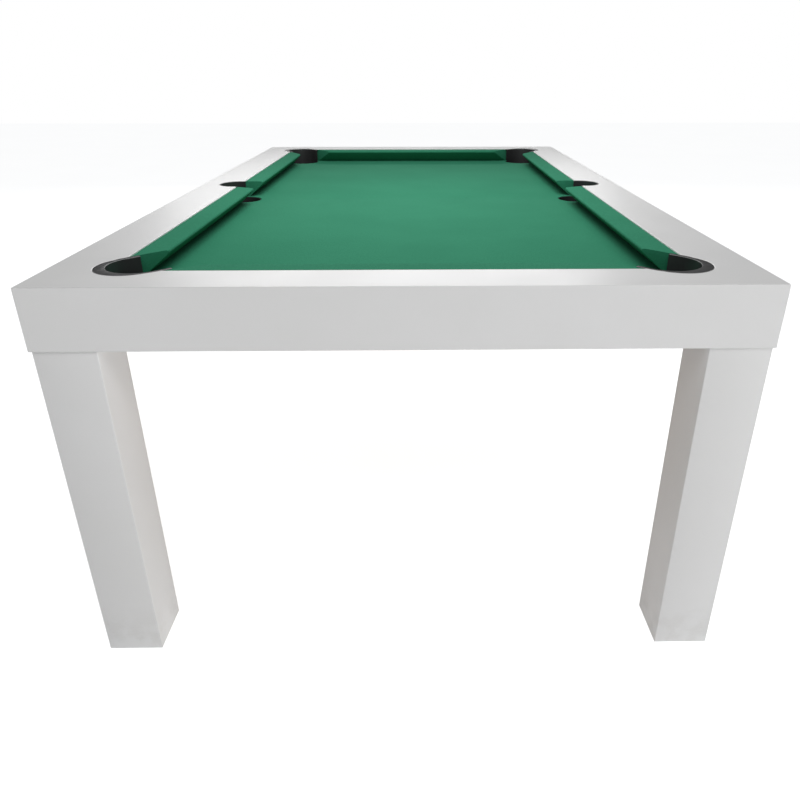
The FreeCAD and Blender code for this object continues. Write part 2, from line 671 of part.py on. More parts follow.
def on_outer_corner(edge):
    """Whether an upright edge of the leg is one of its four outer ones."""
    middle = edge.CenterOfMass
    from_axis = (abs(middle.x - value(LEG_X)), abs(middle.y - value(LEG_Y)))
    return all(abs(distance - corner_reach) < 0.01 for distance in from_axis)


hollow_leg = leg.Tip
arris = leg.newObject("PartDesign::Chamfer", "leg_arrises")
arris.Base = (hollow_leg, [f"Edge{number}" for number in edges_where(hollow_leg.Shape, on_outer_corner)])
bind(arris, Size="leg_arris")
keep_four("leg", leg)

top_plan = square(LEG_X, LEG_Y, LEG_HOLLOW)
top_blank = board("leg_top_block_blank", top_plan, f"({APRON_UNDER} - leg_top_block)", APRON_UNDER)
bolt_end = f"({APRON_UNDER} - leg_top_block * 0.75)"
leg_bolt_way = ("(bolt_radius + bolt_play)", bolt_end, f"({BED_UNDER} + 1)")
top_block = drilled("leg_top_block", top_blank, LEG_BOLTS, *leg_bolt_way)
group("leg_top_blocks", list(in_four("leg_top_block", top_block).values()))

block_plan = rectangle(INNER_X, f"({INNER_X} + block_size)", INNER_Y, f"({INNER_Y} + block_size)")
block_blank = board("corner_block_blank", block_plan, APRON_UNDER, BED_UNDER)
block_holes = holes("block_hole", LEG_BOLTS, *leg_bolt_way)
seat_way = ("(bolt_head_radius + bolt_play)", HEAD_SEAT, f"({BED_UNDER} + 1)")
block_seats = holes("block_seat", LEG_BOLTS, *seat_way)
cup_way = ("(corner_radius + liner_wall + liner_gap)", f"({APRON_UNDER} - 1)", f"({BED_UNDER} + 1)")
block_tools = fused("block_tools", block_holes + block_seats + [corner_pocket.cup("block_cup", *cup_way)])
keep_four("corner_block", cut("corner_block", block_blank, block_tools))

near_left_bolts = bolts("leg_bolt", LEG_BOLTS, HEAD_SEAT, bolt_end, False)
group("leg_bolts", [piece for near in near_left_bolts for piece in in_four(near.Name, near).values()])

foot_block_blank = board("leg_foot_block_blank", top_plan, "0", "leg_foot_block")
recess = cylinder("foot_recess", LEG_X, LEG_Y, "-1", "recess_depth", "recess_radius")
insert_way = cylinder("insert_way", LEG_X, LEG_Y, "-1", "(leg_foot_block + 1)", "insert_radius")
foot_block = cut("leg_foot_block", foot_block_blank, fused("foot_block_tools", [recess, insert_way]))
keep_four("leg_foot_block", foot_block)


# ---- levelling feet: insert in the leg, screw that turns, pad that stands on the floor ----

def at_leg(body, height):
    return place(body, LEG_X, LEG_Y, height)


insert_section = rectangle("(stem_radius + stem_play)", "insert_radius", "recess_depth", "leg_foot_block")
foot_insert = at_leg(turned("foot_insert", insert_section), "0")
group("foot_inserts", list(in_four("foot_insert", foot_insert).values()))

pad_section = [
    ("0", "0"),
    ("(pad_radius - pad_edge / 2)", "0"),
    ("pad_radius", "(pad_edge / 2)"),
    ("pad_radius", "(pad_height - pad_edge)"),
    ("(pad_radius - pad_edge)", "pad_height"),
    ("(stem_radius + stem_play)", "pad_height"),
    ("(stem_radius + stem_play)", "pad_floor"),
    ("0", "pad_floor"),
]
keep_four("foot_pad", at_leg(turned("foot_pad", pad_section), "foot_lift"))

collar_low = "(pad_height + stem_lift)"
stem_section = [
    ("0", "(pad_floor + stem_lift)"),
    ("stem_radius", "(pad_floor + stem_lift)"),
    ("stem_radius", collar_low),
    ("collar_radius", collar_low),
    ("collar_radius", f"({collar_low} + collar_height)"),
    ("stem_radius", f"({collar_low} + collar_height)"),
    ("stem_radius", "stem_height"),
    ("0", "stem_height"),
]
keep_four("foot_stem", at_leg(turned("foot_stem", stem_section), "foot_lift"))


# ---- check and write ----

doc.recompute()
for thing in doc.Objects:
    if "Invalid" in thing.State or "Error" in thing.State:
        raise ValueError(f"{thing.Name} failed: {thing.State}")
for label, thing in subparts.items():
    if thing.Shape.isNull() or not thing.Shape.isValid():
        raise ValueError(f"{label} has no valid shape")

os.makedirs("parts", exist_ok=True)
for label, thing in subparts.items():
    thing.Shape.exportStep(f"parts/{label}.step")
print(f"{len(subparts)} sub-parts written")
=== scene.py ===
# %% [markdown]
# A seven-foot pool table, in white lacquer with green cloth.
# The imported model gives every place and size, in metres, with +Z up and the origin on the floor
# under the table's centre. It could all be shown as it comes, but its edges are knife sharp and its
# cloth is bare solid, so this script keeps the hidden timber and hardware, and makes the pieces that
# show again: lacquered boards with broken edges, cushions in cloth, moulded pockets and the bed cloth.

# %% Load the frame
import json
import math

import bmesh
import bpy
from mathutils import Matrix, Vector, geometry, noise


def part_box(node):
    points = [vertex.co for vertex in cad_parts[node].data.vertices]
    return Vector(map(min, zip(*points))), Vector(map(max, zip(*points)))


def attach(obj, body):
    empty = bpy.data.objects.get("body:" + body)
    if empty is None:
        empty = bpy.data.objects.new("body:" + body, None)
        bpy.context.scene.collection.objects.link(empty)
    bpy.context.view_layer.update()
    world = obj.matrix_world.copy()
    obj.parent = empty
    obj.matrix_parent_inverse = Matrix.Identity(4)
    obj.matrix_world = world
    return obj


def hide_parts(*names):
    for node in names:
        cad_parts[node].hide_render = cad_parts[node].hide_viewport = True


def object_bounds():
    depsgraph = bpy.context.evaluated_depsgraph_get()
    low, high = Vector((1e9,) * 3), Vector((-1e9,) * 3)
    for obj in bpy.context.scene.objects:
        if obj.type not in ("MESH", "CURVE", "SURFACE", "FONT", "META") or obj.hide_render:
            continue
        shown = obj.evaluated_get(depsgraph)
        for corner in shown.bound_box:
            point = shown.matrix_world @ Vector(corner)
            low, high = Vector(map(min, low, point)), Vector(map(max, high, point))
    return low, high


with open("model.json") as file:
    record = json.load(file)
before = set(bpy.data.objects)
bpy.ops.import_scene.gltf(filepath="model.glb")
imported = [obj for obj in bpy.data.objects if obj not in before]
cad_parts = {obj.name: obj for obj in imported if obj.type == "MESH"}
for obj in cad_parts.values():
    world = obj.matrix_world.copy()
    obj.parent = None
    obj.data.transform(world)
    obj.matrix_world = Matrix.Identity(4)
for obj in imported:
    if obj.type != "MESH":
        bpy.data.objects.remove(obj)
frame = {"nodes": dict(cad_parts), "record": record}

cad_low, cad_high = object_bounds()
MM = 0.001
frame_slots = {part["node"]: part["material_slot"] for part in frame["record"]["subparts"]}
print("model box", [round(v, 4) for v in (*cad_low, *cad_high)], "m")

# %% [markdown]
# Four lines lay out the whole top: the outer faces, the edge where rail meets cushion, the rail's
# upper face, and the cloth. They are read from the nodes that own them, so nothing is typed twice.

# %% Lines that the top is laid out from
OUT_X, OUT_Y = cad_high.x, cad_high.y
RAIL_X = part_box("side_rail_right")[0].x
RAIL_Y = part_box("end_rail_far")[0].y
RAIL_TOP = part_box("side_rail_right")[1].z
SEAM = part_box("side_rail_right")[0].z
CLOTH_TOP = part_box("bed_cloth")[1].z
CUP_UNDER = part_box("side_pocket_liner_left")[0].z
NOSE = RAIL_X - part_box("side_cushion_near_right")[0].x
BACKING_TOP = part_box("side_sub_rail_near_right")[1].z
print("playing area", round(2 * (RAIL_X - NOSE), 4), "by", round(2 * (RAIL_Y - NOSE), 4), "m")

# %% [markdown]
# Two helpers turn lists of points into clean meshes. A loft joins sections of equal length, which
# suits everything here that is long or round: cushions, pocket walls, cups and legs. Blender's own
# Solidify or Screw could do parts of it, but a loft keeps hold of every edge. Shading is smooth
# except across edges that really are sharp.

# %% Mesh helpers
SHARP = math.radians(32)
SAME_PLACE = 0.01 * MM


def object_from(bm, name, sharp=SHARP):
    """Turns a bmesh into an object, with faces smooth and the edges that fold more than sharp marked."""
    bmesh.ops.remove_doubles(bm, verts=bm.verts, dist=SAME_PLACE)
    bmesh.ops.recalc_face_normals(bm, faces=bm.faces)
    for face in bm.faces:
        face.smooth = True
    for edge in bm.edges:
        edge.smooth = len(edge.link_faces) < 2 or edge.calc_face_angle(0) < sharp
    mesh = bpy.data.meshes.new(name)
    bm.to_mesh(mesh)
    bm.free()
    piece = bpy.data.objects.new(name, mesh)
    bpy.context.scene.collection.objects.link(piece)
    return piece


def loft(bm, sections, ring=True, loop=False, caps=True):
    """Faces between sections: ring closes each section, loop joins the last to the first."""
    rows = [[bm.verts.new(point) for point in section] for section in sections]
    pairs = list(zip(rows, rows[1:])) + ([(rows[-1], rows[0])] if loop else [])
    count = len(rows[0])
    for row, following in pairs:
        for i in range(count if ring else count - 1):
            j = (i + 1) % count
            bm.faces.new((row[i], row[j], following[j], following[i]))
    if caps and ring and not loop:
        bm.faces.new(rows[0])
        bm.faces.new(rows[-1])
    return rows


def arc(centre, radius, start, end, steps):
    """Points along a circular arc in a plane, angles in degrees, both ends included."""
    angles = [math.radians(start + (end - start) * i / steps) for i in range(steps + 1)]
    return [(centre[0] + radius * math.cos(a), centre[1] + radius * math.sin(a)) for a in angles]


print("helpers ready")

# %% [markdown]
# A pocket is a horseshoe in plan: a half circle at the back and two straight arms towards the
# table. Six of them share the shape, so one small class holds a pocket's centre and the direction
# it faces, and turns "so far forward, so far across" into a place on the table. The corner ones
# face along the diagonal and have a wide crescent flange, and the side ones face straight across.

# %% Pocket plans
ARC_STEPS = 56
WALL = 3 * MM
FLANGE_THICKNESS = 4 * MM
FLANGE_BEHIND = 16.55 * MM
FLANGE_SPREAD = 4.7 * MM
FLANGE_BESIDE = 8 * MM


class Pocket:
    def __init__(self, name, centre, facing, radius, arm, shift, flanged):
        self.name = name
        self.centre = Vector(centre)
        self.forward = Vector(facing).normalized()
        self.across = Vector((-self.forward.y, self.forward.x))
        self.radius = radius
        self.arm = arm
        self.shift = shift
        self.flanged = flanged

    def place(self, along, across, z):
        spot = self.centre + self.forward * along + self.across * across
        return Vector((spot.x, spot.y, z))

    def flange_reach(self, angle):
        """From the centre to the flange's outer edge, at an angle from the way the pocket faces."""
        if not self.flanged:
            return self.radius + WALL
        outline = self.radius + FLANGE_SPREAD
        lean = -FLANGE_BEHIND * math.cos(angle)
        to_outline = lean + math.sqrt(lean * lean - FLANGE_BEHIND * FLANGE_BEHIND + outline * outline)
        return max(self.radius + FLANGE_BESIDE, to_outline)

    def path(self, reach):
        """Centre-line of the inner wall from one arm's end round the back to the other's: place,
        outward direction, and how far out the flange goes."""
        stations = [(Vector((reach, self.radius)), Vector((0, 1)), math.pi / 2)]
        if self.shift < reach:
            stations.append((Vector((self.shift, self.radius)), Vector((0, 1)), math.pi / 2))
        for i in range(ARC_STEPS + 1):
            angle = math.pi / 2 + math.pi * i / ARC_STEPS
            out = Vector((math.cos(angle), math.sin(angle)))
            stations.append((out * self.radius, out, angle))
        arm = stations[:1 + (self.shift < reach)]
        other_arm = [(Vector((p.x, -p.y)), Vector((o.x, -o.y)), a) for p, o, a in arm]
        return stations + other_arm[::-1]

    def cup_ring(self, radius, z):
        """A level ring of the cup: a half circle at the back, one in front, straight between."""
        back = arc((0, 0), radius, 90, 270, ARC_STEPS)
        front = arc((self.shift, 0), radius, -90, 90, ARC_STEPS)
        return [self.place(along, across, z) for along, across in back + front]


CORNER = dict(radius=57.3 * MM, arm=26.6 * MM, shift=8.9 * MM, flanged=True)
SIDE = dict(radius=50 * MM, arm=11 * MM, shift=12 * MM, flanged=False)
CORNER_SETBACK = 41.7 * MM
SIDE_SETBACK = 8 * MM

corner_pockets = {}
for y_name, y_sign in (("near", -1), ("far", 1)):
    for x_name, x_sign in (("left", -1), ("right", 1)):
        middle = (x_sign * (RAIL_X - CORNER_SETBACK), y_sign * (RAIL_Y - CORNER_SETBACK))
        name = f"corner_pocket_liner_{y_name}_{x_name}"
        corner_pockets[x_sign, y_sign] = Pocket(name, middle, (-x_sign, -y_sign), **CORNER)
side_pockets = {}
for x_name, x_sign in (("left", -1), ("right", 1)):
    middle = (x_sign * (RAIL_X + SIDE_SETBACK), 0)
    side_pockets[x_sign] = Pocket(f"side_pocket_liner_{x_name}", middle, (-x_sign, 0), **SIDE)
pockets = [*corner_pockets.values(), *side_pockets.values()]
print(len(pockets), "pockets")

# %% [markdown]
# The real liner is one black moulding that a ball drops through. Its collar stands round the
# opening with a flange let in flush with the rail, and below the cloth it closes to a cup. A boolean
# of cylinders would make the shape but leave ragged facets where they cross, so the collar is a
# section swept round the horseshoe, with a bevel on its inner edge that catches the light, and
# the cup is a stack of rings with a coved floor.

# %% Pocket liners
BEVEL = 1.3 * MM
RIM_DROP = 1.5 * MM
COVE = 9 * MM
CUP_FLOOR = CUP_UNDER + WALL
ARM_UNDER = CLOTH_TOP + 0.3 * MM


def collar_section(pocket, spot, out, reach, bottom):
    """The collar's section at one station: up the inside, across the flange, down the outside."""
    width = reach - pocket.radius
    edge = 0.5 * MM
    profile = [
        (0, bottom),
        (0, ARM_UNDER),
        (0, RAIL_TOP - 1.6 * BEVEL),
        (0.12 * BEVEL, RAIL_TOP - 0.75 * BEVEL),
        (0.5 * BEVEL, RAIL_TOP - 0.2 * BEVEL),
        (1.2 * BEVEL, RAIL_TOP),
        (width - edge, RAIL_TOP),
        (width, RAIL_TOP - edge),
        (width, RAIL_TOP - FLANGE_THICKNESS),
        (WALL, RAIL_TOP - FLANGE_THICKNESS),
        (WALL, ARM_UNDER),
        (WALL, bottom),
    ]
    return [pocket.place(*(spot + out * away), z) for away, z in profile]


def add_collar(bm, pocket):
    sections = []
    for spot, out, angle in pocket.path(pocket.arm):
        reach = pocket.flange_reach(angle)
        past_cup, at_step = spot.x > pocket.shift, spot.x == pocket.shift
        heights = [ARM_UNDER if past_cup else CLOTH_TOP - RIM_DROP]
        if at_step:
            heights = [ARM_UNDER, CLOTH_TOP - RIM_DROP] if spot.y > 0 else [CLOTH_TOP - RIM_DROP, ARM_UNDER]
        sections += [collar_section(pocket, spot, out, reach, height) for height in heights]
    loft(bm, sections)


def add_cup(bm, pocket):
    rim = CLOTH_TOP - RIM_DROP
    inside = pocket.radius
    rings = [(inside + WALL, CUP_UNDER + 0.6 * MM), (inside + WALL, rim), (inside + 0.5 * MM, rim),
             (inside, rim - 0.5 * MM)]
    rings += [(inside - COVE + COVE * math.cos(a), CUP_FLOOR + COVE - COVE * math.sin(a))
              for a in (math.radians(90 * i / 8) for i in range(9))]
    rows = loft(bm, [pocket.cup_ring(radius, z) for radius, z in rings], caps=False)
    under = loft(bm, [pocket.cup_ring(inside + WALL - 0.6 * MM, CUP_UNDER),
                      pocket.cup_ring(inside + WALL, CUP_UNDER + 0.6 * MM)], caps=False)
    bm.faces.new(rows[-1])
    bm.faces.new(under[0])


liners = []
for pocket in pockets:
    bm = bmesh.new()
    add_cup(bm, pocket)
    add_collar(bm, pocket)
    liner = object_from(bm, pocket.name.replace("liner", "moulding"))
    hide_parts(pocket.name)
    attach(liner, "table")
    liners.append(liner)
print(len(liners), "liners,", sum(len(o.data.polygons) for o in liners), "faces")

# %% [markdown]
# The rails and aprons are boards that were glued, faired and sprayed as one, so no joint shows
# in the lacquer. Four mitred boards would each need their bevels to meet exactly. One ring for the
# rails and one for the aprons is simpler: they meet on a flush seam that gets no bevel, and
# every other corner is broken by a fine round, which is what makes a painted edge look painted.

# %% Rail ring with its pocket cuts
EDGE_ROUND = 1.3 * MM
FLANGE_GAP = 0.3 * MM
WALL_GAP = 0.5 * MM
WEIGHT = "bevel_weight_edge"


def corner_cut(pocket):
    """Where a corner flange is let into the rails, from the end rail's edge round to the side's."""
    beside = pocket.flange_reach(math.pi / 2) + FLANGE_GAP
    setback = math.sqrt(2) * CORNER_SETBACK
    meet = beside - setback
    points = [(meet, beside)]
    for i in range(ARC_STEPS + 1):
        angle = math.pi / 2 + math.pi * i / ARC_STEPS
        reach = pocket.flange_reach(angle) + FLANGE_GAP
        points.append((reach * math.cos(angle), reach * math.sin(angle)))
    points.append((meet, -beside))
    return [pocket.place(along, across, 0).to_2d() for along, across in points]


def side_cut(pocket):
    """The side pocket's opening in the rail, from one side of the pocket to the other."""
    radius = pocket.radius + WALL + WALL_GAP
    points = [(SIDE_SETBACK, radius)] + arc((0, 0), radius, 90, 270, ARC_STEPS) + [(SIDE_SETBACK, -radius)]
    return [pocket.place(along, across, 0).to_2d() for along, across in points]


def rail_ring():
    """The rails in plan, one outline each, parted where each corner's cut is deepest."""
    halves = {}
    for key, pocket in corner_pockets.items():
        cut = corner_cut(pocket)
        deepest = len(cut) // 2
        ends = [cut[:deepest + 1], cut[deepest:][::-1]]
        along_end = min(ends, key=lambda points: abs(points[0].x))
        along_side = min(ends, key=lambda points: abs(points[0].y))
        halves[key] = (along_end, along_side)
    outlines = []
    for y_sign in (-1, 1):
        left, right = halves[-1, y_sign][0], halves[1, y_sign][0]
        outer_edge = [Vector((-OUT_X, y_sign * OUT_Y)), Vector((OUT_X, y_sign * OUT_Y))]
        outlines.append(outer_edge + right[::-1] + left)
    for x_sign in (-1, 1):
        near, far = halves[x_sign, -1][1], halves[x_sign, 1][1]
        middle = side_cut(side_pockets[x_sign])
        if (middle[0].y < middle[-1].y) == (near[0].y < far[0].y):
            middle.reverse()
        outer_edge = [Vector((x_sign * OUT_X, -OUT_Y)), Vector((x_sign * OUT_X, OUT_Y))]
        outlines.append(outer_edge + far[::-1] + middle + near)
    return outlines


def slab_ring(bm, outlines, low, high):
    """Flat faces above and below each outline, and upright faces on the edges that only one outline has."""
    for z in (low, high):
        for outline in outlines:
            bm.faces.new([bm.verts.new((p.x, p.y, z)) for p in outline])
    bmesh.ops.remove_doubles(bm, verts=bm.verts, dist=SAME_PLACE)
    key = {(round(v.co.x, 5), round(v.co.y, 5), v.co.z > (low + high) / 2): v for v in bm.verts}
    for edge in [e for e in bm.edges if len(e.link_faces) == 1 and e.verts[0].co.z < (low + high) / 2]:
        a, b = edge.verts
        above = [key[round(v.co.x, 5), round(v.co.y, 5), True] for v in (b, a)]
        bm.faces.new([a, b] + above)


def round_edges(piece, width, keep_square):
    """Rounds the sharp edges of a piece, apart from those that keep_square picks out."""
    bm = bmesh.new()
    bm.from_mesh(piece.data)
    weight = bm.edges.layers.float.get(WEIGHT) or bm.edges.layers.float.new(WEIGHT)
    for edge in bm.edges:
        folded = len(edge.link_faces) == 2 and edge.calc_face_angle(0) > SHARP
        edge[weight] = 1.0 if folded and not keep_square(edge) else 0.0
    bm.to_mesh(piece.data)
    bm.free()
    rounding = piece.modifiers.new("rounded edges", "BEVEL")
    rounding.limit_method = "WEIGHT"
    rounding.width = width
    rounding.segments = 3
    rounding.harden_normals = False
    return piece


def on_seam(edge):
    return all(abs(v.co.z - SEAM) < 0.1 * MM for v in edge.verts)


bm = bmesh.new()
slab_ring(bm, rail_ring(), SEAM, RAIL_TOP)
rails = round_edges(object_from(bm, "lacquered_rails"), EDGE_ROUND, on_seam)
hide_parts("side_rail_left", "side_rail_right", "end_rail_near", "end_rail_far")
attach(rails, "table")
print("rails", len(rails.data.polygons), "faces")

# %% Apron ring
APRON_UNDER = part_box("end_apron_near")[0].z
APRON_IN_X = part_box("side_apron_right")[0].x
APRON_IN_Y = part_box("end_apron_far")[0].y


def frame_corners(x, y):
    return [Vector(p) for p in ((-x, -y), (x, -y), (x, y), (-x, y))]


outer, inner = frame_corners(OUT_X, OUT_Y), frame_corners(APRON_IN_X, APRON_IN_Y)
boards = [[outer[i], outer[(i + 1) % 4], inner[(i + 1) % 4], inner[i]] for i in range(4)]
bm = bmesh.new()
slab_ring(bm, boards, APRON_UNDER, SEAM)
aprons = round_edges(object_from(bm, "lacquered_aprons"), EDGE_ROUND, on_seam)
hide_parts("side_apron_left", "side_apron_right", "end_apron_near", "end_apron_far")
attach(aprons, "table")
print("aprons", len(aprons.data.polygons), "faces")

# %% [markdown]
# Each leg is a hollow square post. A box with a bevel would do for the outside, but the leg is
# open at the bottom where its block and foot sit, so it is lofted as a tube: up the outside with
# rounded arrises, over the top, and down the inside.

# %% Legs
LEG_WALL = 18 * MM
LEG_ROUND = 1.5 * MM


def rounded_square(low, high, inset, radius, z):
    """A level square ring with rounded corners, inset from a box's sides."""
    x0, x1, y0, y1 = low.x + inset, high.x - inset, low.y + inset, high.y - inset
    ring = []
    for x, y, start in ((x1, y1, 0), (x0, y1, 90), (x0, y0, 180), (x1, y0, 270)):
        centre = (x - math.copysign(radius, x - (x0 + x1) / 2), y - math.copysign(radius, y - (y0 + y1) / 2))
        ring += [Vector((*p, z)) for p in arc(centre, radius, start, start + 90, 4)]
    return ring


legs = []
for corner in ("near_left", "near_right", "far_left", "far_right"):
    low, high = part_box(f"leg_{corner}")
    outside = [(LEG_ROUND * 0.6, low.z), (LEG_ROUND * 0.15, low.z + LEG_ROUND * 0.25),
               (0, low.z + LEG_ROUND), (0, high.z)]
    inside = [(LEG_WALL, high.z), (LEG_WALL, low.z)]
    bm = bmesh.new()
    loft(bm, [rounded_square(low, high, inset, LEG_ROUND, z) for inset, z in outside + inside], loop=True)
    leg = object_from(bm, f"lacquered_leg_{corner}")
    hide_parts(f"leg_{corner}")
    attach(leg, "table")
    legs.append(leg)
print(len(legs), "legs")

# %% [markdown]
# A cushion is a rubber strip with wool cloth pulled tight over it. The cloth is tucked into a
# groove along the rail, runs nearly flat to the nose, turns round it and slopes far back underneath,
# so that a ball meets only the nose and the bed below it lies in shadow.
# Stretched this hard over firm rubber it has no folds to simulate, so the section is drawn and
# swept. Its ends are cut to the pocket facings, where each line of the section stops
# according to how far out it is, and those cut edges are softened as folded cloth is.

# %% Cushion section
FOOT = CLOTH_TOP + 0.3 * MM
NOSE_TOP = RAIL_TOP - 2.6 * MM
NOSE_ROUND = 4.2 * MM
TUCK = 1.6 * MM
FOOT_OUT = 11 * MM
BACKING = 8 * MM
GAP = 0.2 * MM


def cushion_section():
    """(distance out from the rail, height) from the groove over the nose to the foot, and back
    along the timber behind."""
    bulge = NOSE - NOSE_ROUND
    turn = arc((bulge, NOSE_TOP - NOSE_ROUND), NOSE_ROUND, 87, -54, 11)
    top = [(GAP, RAIL_TOP - TUCK - 1.2 * MM), (1.1 * MM, RAIL_TOP - TUCK - 0.8 * MM),
           (2.6 * MM, RAIL_TOP - TUCK), (5.5 * MM, RAIL_TOP - 1.0 * MM), (12 * MM, RAIL_TOP - 1.05 * MM),
           (24 * MM, RAIL_TOP - 1.4 * MM), (36 * MM, RAIL_TOP - 1.9 * MM)]
    foot = [(FOOT_OUT + 1.3 * MM, FOOT + 1.1 * MM), (FOOT_OUT, FOOT + 0.3 * MM), (FOOT_OUT - 1.2 * MM, FOOT)]
    timber_top = (GAP, BACKING_TOP + GAP)
    round_timber = [(BACKING + GAP, FOOT), (BACKING + GAP, BACKING_TOP + GAP), timber_top]
    over_timber_end = [(BACKING + GAP, CLOTH_TOP + GAP), (GAP, CLOTH_TOP + GAP), timber_top]
    return top + turn + foot, round_timber, over_timber_end


SECTION_SEEN, ROUND_TIMBER, OVER_TIMBER_END = cushion_section()
SEEN = len(SECTION_SEEN)
print(SEEN, "points in the part of the section that shows")

# %% Cushions
CORNER_FACING_GAP = 0.25 * MM
SIDE_FACING_GAP = 1 * MM
CORNER_START = math.sqrt(2) * (CORNER["radius"] + FLANGE_BESIDE) + CORNER_FACING_GAP
CORNER_RUN = 65.4 * MM
SIDE_START = SIDE["radius"] + WALL + SIDE_FACING_GAP
SIDE_RUN = 13.5 * MM
CLOTH_STEPS = 64
PROUD = 0.6 * MM
RIM_ROUND = 0.5 * MM
RIPPLE = 0.2 * MM


def cushion(name, node, to_table, first, last):
    """Sweeps the section from one end to the other. first and last are (start, run): where the end
    meets the rail line, and how much further along it is at the nose. to_table turns (out, along, z)
    into a place."""
    def section(after_start, before_end, share, hidden):
        points = []
        for out, z in SECTION_SEEN + hidden:
            begin = first[0] + first[1] * out / NOSE + after_start
            finish = last[0] + last[1] * out / NOSE - before_end
            spot = Vector(to_table(out, begin + (finish - begin) * share, z))
            if z > FOOT + 10 * MM and out > 4 * MM:
                spot.z += noise.noise(spot * 9) * RIPPLE
            points.append(spot)
        return points

    bm = bmesh.new()
    sections = [section(-PROUD, -PROUD, 0, OVER_TIMBER_END), section(0, 0, 0, OVER_TIMBER_END)]
    sections += [section(0, 0, step / CLOTH_STEPS, ROUND_TIMBER) for step in range(CLOTH_STEPS + 1)]
    sections += [section(0, 0, 1, OVER_TIMBER_END), section(-PROUD, -PROUD, 1, OVER_TIMBER_END)]
    rows = loft(bm, sections)
    rims = [bm.edges.get((row[i], row[i + 1])) for row in (rows[0], rows[-1]) for i in range(3, SEEN - 1)]
    bmesh.ops.bevel(bm, geom=rims, offset=RIM_ROUND, segments=2, profile=0.6, affect="EDGES")
    piece = object_from(bm, name)
    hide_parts(node)
    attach(piece, "table")
    return piece


cushions = []
corner_end_y = RAIL_Y - CORNER_START
corner_end_x = RAIL_X - CORNER_START
for y_name, y_sign in (("near", -1), ("far", 1)):
    for x_name, x_sign in (("left", -1), ("right", 1)):
        def beside(out, along, z, x_sign=x_sign, y_sign=y_sign):
            return (x_sign * (RAIL_X - out), y_sign * along, z)
        place_name = f"{y_name}_{x_name}"
        cushions.append(cushion(f"cloth_cushion_{place_name}", f"side_cushion_{place_name}", beside,
                                (SIDE_START, SIDE_RUN), (corner_end_y, -CORNER_RUN)))

    def across(out, along, z, y_sign=y_sign):
        return (along, y_sign * (RAIL_Y - out), z)
    cushions.append(cushion(f"cloth_cushion_{y_name}", f"end_cushion_{y_name}", across,
                            (-corner_end_x, CORNER_RUN), (corner_end_x, -CORNER_RUN)))
print(len(cushions), "cushions")

# %% [markdown]
# The bed cloth is one flat piece of wool stretched over the bed and pulled down into each pocket.
# A plane with six boolean holes would stop dead at the edge. Instead the flat part is
# triangulated round the six outlines, and from each outline a few rings roll over and hang a
# short way down inside the hole, as the stapled cloth does.

# %% Bed cloth
CLOTH_GAP = 0.25 * MM
ROLL = 1.4 * MM
CLOTH_DROP = 2 * MM
low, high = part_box("bed_cloth")
points = [Vector(p) for p in ((low.x, low.y), (high.x, low.y), (high.x, high.y), (low.x, high.y))]
edges = [(i, (i + 1) % 4) for i in range(4)]
outlines = []
for pocket in pockets:
    ring = [p.to_2d() for p in pocket.cup_ring(pocket.radius + WALL + CLOTH_GAP + ROLL, 0)]
    start = len(points)
    points += ring
    edges += [(start + i, start + (i + 1) % len(ring)) for i in range(len(ring))]
    outlines.append((pocket, ring))
flat = geometry.delaunay_2d_cdt(points, edges, [], 1, 1e-7)
bm = bmesh.new()
verts = [bm.verts.new((p.x, p.y, CLOTH_TOP)) for p in flat[0]]


def in_pocket(spot):
    for pocket in pockets:
        offset = spot - pocket.centre
        along, across = offset.dot(pocket.forward), offset.dot(pocket.across)
        nearest = min(max(along, 0), pocket.shift)
        if math.hypot(along - nearest, across) < pocket.radius + WALL + CLOTH_GAP + ROLL - 0.05 * MM:
            return True
    return False


cloth_area = 0
for triangle in flat[2]:
    if not in_pocket(sum((flat[0][i] for i in triangle), Vector((0, 0))) / 3):
        cloth_area += bm.faces.new([verts[i] for i in triangle]).calc_area()
for pocket, ring in outlines:
    hole = pocket.radius + WALL + CLOTH_GAP
    rolls = [(hole + ROLL * (1 - math.sin(a)), CLOTH_TOP - ROLL * (1 - math.cos(a)))
             for a in (math.radians(15 * i) for i in range(7))]
    rings = [pocket.cup_ring(radius, z) for radius, z in rolls]
    loft(bm, rings + [pocket.cup_ring(hole, CLOTH_TOP - ROLL - CLOTH_DROP)], caps=False)
bed_cloth = object_from(bm, "stretched_bed_cloth")
for face in bed_cloth.data.polygons:
    if face.normal.z < -0.5:
        bed_cloth.data.flip_normals()
        break
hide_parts("bed_cloth")
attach(bed_cloth, "table")
print("bed cloth", round(cloth_area, 3), "square metres")

# %% [markdown]
# Materials come from small node trees. Anything that more than one finish needs is a group with
# named sockets: blotches, fine grain, woven cloth, timber figure, and the rub marks that gather near
# the floor. A group gives out masks, colours and heights only, and each finish decides what to do
# with them. Everything is worked from the object's own place in metres, so the scale is real.

# %% Node helpers


